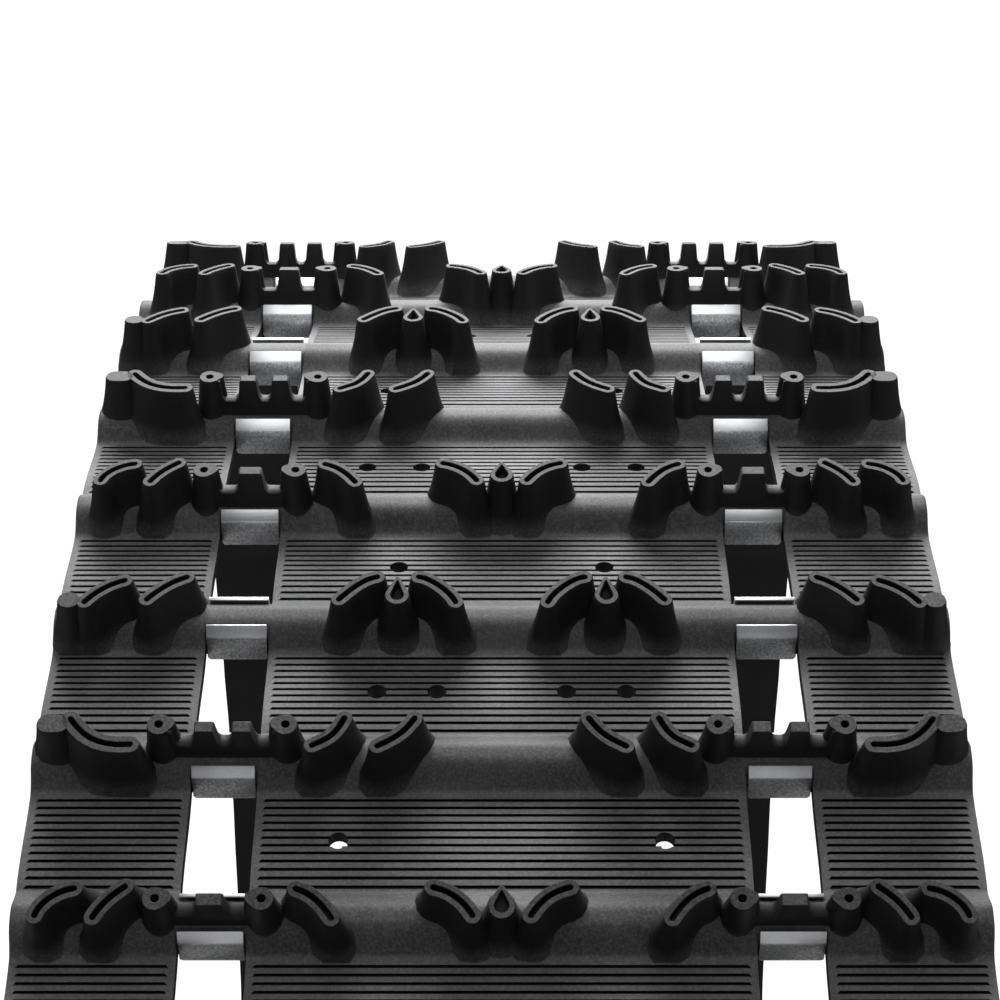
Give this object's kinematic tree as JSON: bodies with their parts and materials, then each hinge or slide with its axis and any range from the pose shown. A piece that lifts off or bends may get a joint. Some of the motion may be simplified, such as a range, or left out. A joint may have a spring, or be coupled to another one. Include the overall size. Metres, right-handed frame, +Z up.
{
  "type": "snowmobile rubber track",
  "caption": "Endless rubber drive track with moulded traction lugs, two drive window columns, cross rods and crimped steel guide clips, standing as a free loop.",
  "frame": {"origin": "on the floor under the middle of the loop", "axes": "+X across the track to the right seen from the front, +Y from front to back, +Z up"},
  "size_m": [0.381, 1.0468, 1.2776],
  "materials": {
    "track_rubber": "moulded black rubber, satin on the bar tops, matt in the flats",
    "clip_steel": "bright stamped and hardened steel"
  },
  "bodies": {
    "base": {"belt_section_base": "track_rubber", "cross_rod_with_clips_45": "clip_steel", "cross_rod_with_clips_46": "clip_steel", "cross_rod_with_clips_47": "clip_steel", "cross_rod_with_clips_48": "clip_steel", "cross_rod_with_clips_01": "clip_steel", "cross_rod_with_clips_02": "clip_steel", "cross_rod_with_clips_03": "clip_steel", "cross_rod_with_clips_04": "clip_steel"},
    "front_1": {"belt_section_front_1": "track_rubber", "cross_rod_with_clips_05": "clip_steel", "cross_rod_with_clips_06": "clip_steel", "cross_rod_with_clips_07": "clip_steel", "cross_rod_with_clips_08": "clip_steel"},
    "rear_1": {"belt_section_rear_1": "track_rubber", "cross_rod_with_clips_41": "clip_steel", "cross_rod_with_clips_42": "clip_steel", "cross_rod_with_clips_43": "clip_steel", "cross_rod_with_clips_44": "clip_steel"},
    "front_2": {"belt_section_front_2": "track_rubber", "cross_rod_with_clips_09": "clip_steel", "cross_rod_with_clips_10": "clip_steel", "cross_rod_with_clips_11": "clip_steel", "cross_rod_with_clips_12": "clip_steel"},
    "rear_2": {"belt_section_rear_2": "track_rubber", "cross_rod_with_clips_37": "clip_steel", "cross_rod_with_clips_38": "clip_steel", "cross_rod_with_clips_39": "clip_steel", "cross_rod_with_clips_40": "clip_steel"},
    "front_3": {"belt_section_front_3": "track_rubber", "cross_rod_with_clips_13": "clip_steel", "cross_rod_with_clips_14": "clip_steel", "cross_rod_with_clips_15": "clip_steel", "cross_rod_with_clips_16": "clip_steel"},
    "rear_3": {"belt_section_rear_3": "track_rubber", "cross_rod_with_clips_33": "clip_steel", "cross_rod_with_clips_34": "clip_steel", "cross_rod_with_clips_35": "clip_steel", "cross_rod_with_clips_36": "clip_steel"},
    "front_4": {"belt_section_front_4": "track_rubber", "cross_rod_with_clips_17": "clip_steel", "cross_rod_with_clips_18": "clip_steel", "cross_rod_with_clips_19": "clip_steel", "cross_rod_with_clips_20": "clip_steel"},
    "rear_4": {"belt_section_rear_4": "track_rubber", "cross_rod_with_clips_29": "clip_steel", "cross_rod_with_clips_30": "clip_steel", "cross_rod_with_clips_31": "clip_steel", "cross_rod_with_clips_32": "clip_steel"},
    "front_5": {"belt_section_front_5": "track_rubber", "cross_rod_with_clips_21": "clip_steel", "cross_rod_with_clips_22": "clip_steel", "cross_rod_with_clips_23": "clip_steel", "cross_rod_with_clips_24": "clip_steel"},
    "rear_5": {"belt_section_rear_5": "track_rubber", "cross_rod_with_clips_25": "clip_steel", "cross_rod_with_clips_26": "clip_steel", "cross_rod_with_clips_27": "clip_steel", "cross_rod_with_clips_28": "clip_steel"}
  },
  "joints": [
    {"name": "front_hinge_1", "type": "hinge", "parent": "base", "child": "front_1", "pos_m": [0, -0.2755, 0.09236], "axis": [1, 0, 0], "range_deg": [-12, 12], "stiffness_Nm_per_rad": 60},
    {"name": "front_hinge_2", "type": "hinge", "parent": "front_1", "child": "front_2", "pos_m": [0, -0.44797, 0.32198], "axis": [1, 0, 0], "range_deg": [-7.72, 7.72], "stiffness_Nm_per_rad": 40},
    {"name": "front_hinge_3", "type": "hinge", "parent": "front_2", "child": "front_3", "pos_m": [0, -0.49367, 0.60674], "axis": [1, 0, 0], "range_deg": [-8.49, 8.49], "stiffness_Nm_per_rad": 25},
    {"name": "front_hinge_4", "type": "hinge", "parent": "front_3", "child": "front_4", "pos_m": [0, -0.42286, 0.88684], "axis": [1, 0, 0], "range_deg": [-7.76, 7.76], "stiffness_Nm_per_rad": 15},
    {"name": "front_hinge_5", "type": "hinge", "parent": "front_4", "child": "front_5", "pos_m": [0, -0.25192, 1.11939], "axis": [1, 0, 0], "range_deg": [-11.82, 11.82], "stiffness_Nm_per_rad": 8},
    {"name": "rear_hinge_1", "type": "hinge", "parent": "base", "child": "rear_1", "pos_m": [0, 0.2755, 0.09236], "axis": [-1, 0, 0], "range_deg": [-12, 12], "stiffness_Nm_per_rad": 60},
    {"name": "rear_hinge_2", "type": "hinge", "parent": "rear_1", "child": "rear_2", "pos_m": [0, 0.44797, 0.32198], "axis": [-1, 0, 0], "range_deg": [-7.72, 7.72], "stiffness_Nm_per_rad": 40},
    {"name": "rear_hinge_3", "type": "hinge", "parent": "rear_2", "child": "rear_3", "pos_m": [0, 0.49367, 0.60674], "axis": [-1, 0, 0], "range_deg": [-8.49, 8.49], "stiffness_Nm_per_rad": 25},
    {"name": "rear_hinge_4", "type": "hinge", "parent": "rear_3", "child": "rear_4", "pos_m": [0, 0.42286, 0.88684], "axis": [-1, 0, 0], "range_deg": [-7.76, 7.76], "stiffness_Nm_per_rad": 15},
    {"name": "rear_hinge_5", "type": "hinge", "parent": "rear_4", "child": "rear_5", "pos_m": [0, 0.25192, 1.11939], "axis": [-1, 0, 0], "range_deg": [-11.82, 11.82], "stiffness_Nm_per_rad": 8}
  ],
  "couplings": [
    {"joint": "front_hinge_2", "follows": "front_hinge_1", "ratio": -0.6431},
    {"joint": "front_hinge_3", "follows": "front_hinge_1", "ratio": -0.7068},
    {"joint": "front_hinge_4", "follows": "front_hinge_1", "ratio": -0.6462},
    {"joint": "front_hinge_5", "follows": "front_hinge_1", "ratio": 0.9845},
    {"joint": "rear_hinge_1", "follows": "front_hinge_1", "ratio": 1},
    {"joint": "rear_hinge_2", "follows": "front_hinge_1", "ratio": -0.6431},
    {"joint": "rear_hinge_3", "follows": "front_hinge_1", "ratio": -0.7068},
    {"joint": "rear_hinge_4", "follows": "front_hinge_1", "ratio": -0.6462},
    {"joint": "rear_hinge_5", "follows": "front_hinge_1", "ratio": 0.9845}
  ]
}
